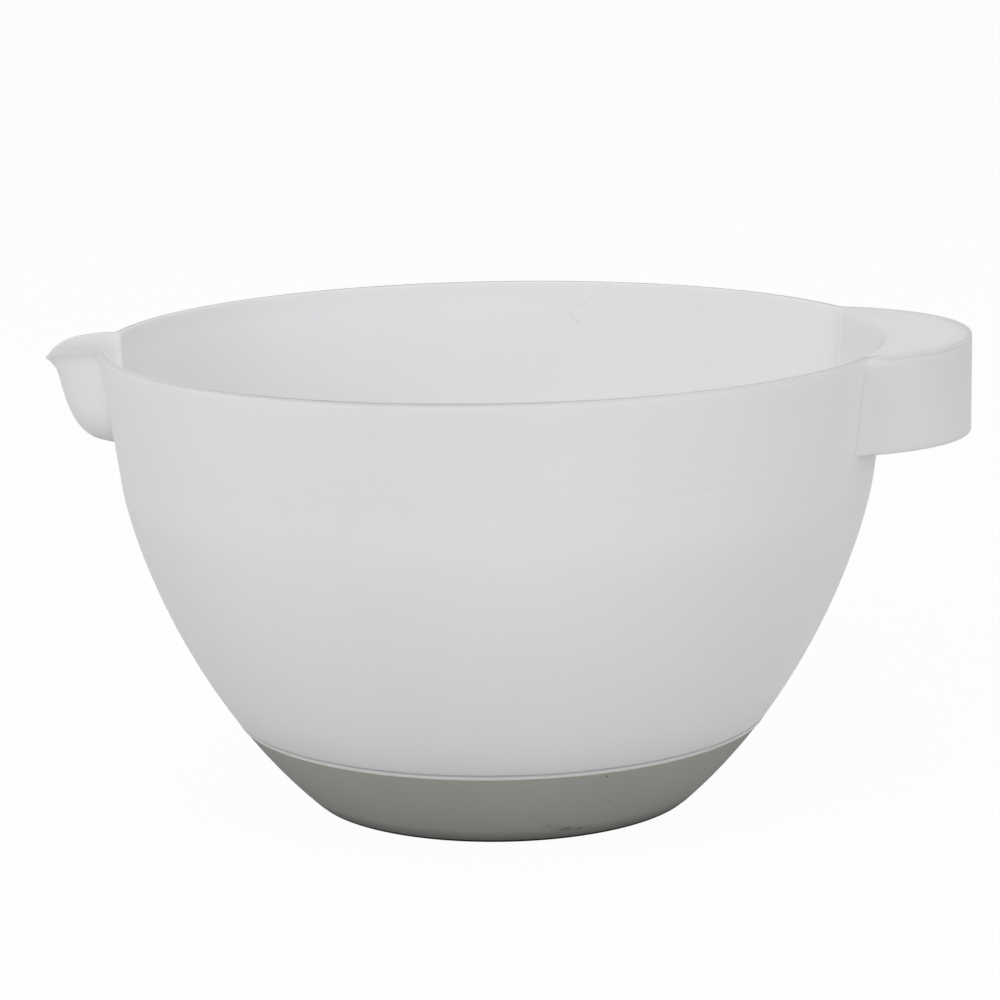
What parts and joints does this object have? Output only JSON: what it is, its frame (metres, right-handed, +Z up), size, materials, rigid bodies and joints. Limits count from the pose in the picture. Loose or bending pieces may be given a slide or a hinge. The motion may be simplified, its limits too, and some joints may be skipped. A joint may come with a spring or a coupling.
{
  "type": "batter bowl",
  "caption": "Translucent moulded mixing bowl with a pouring spout, a hollow lip handle open underneath, and a soft non-slip base moulded round its foot.",
  "frame": {"origin": "on the bowl's axis, at the middle of the base's flat underside", "axes": "+Z up along the bowl's axis, +X out through the handle, -X out through the spout"},
  "size_m": [0.2812, 0.2398, 0.142],
  "materials": {
    "bowl_plastic": "satin, milky translucent",
    "base_rubber": "matte, soft touch"
  },
  "bodies": {
    "root": {"bowl": "bowl_plastic", "base": "base_rubber"}
  },
  "joints": []
}
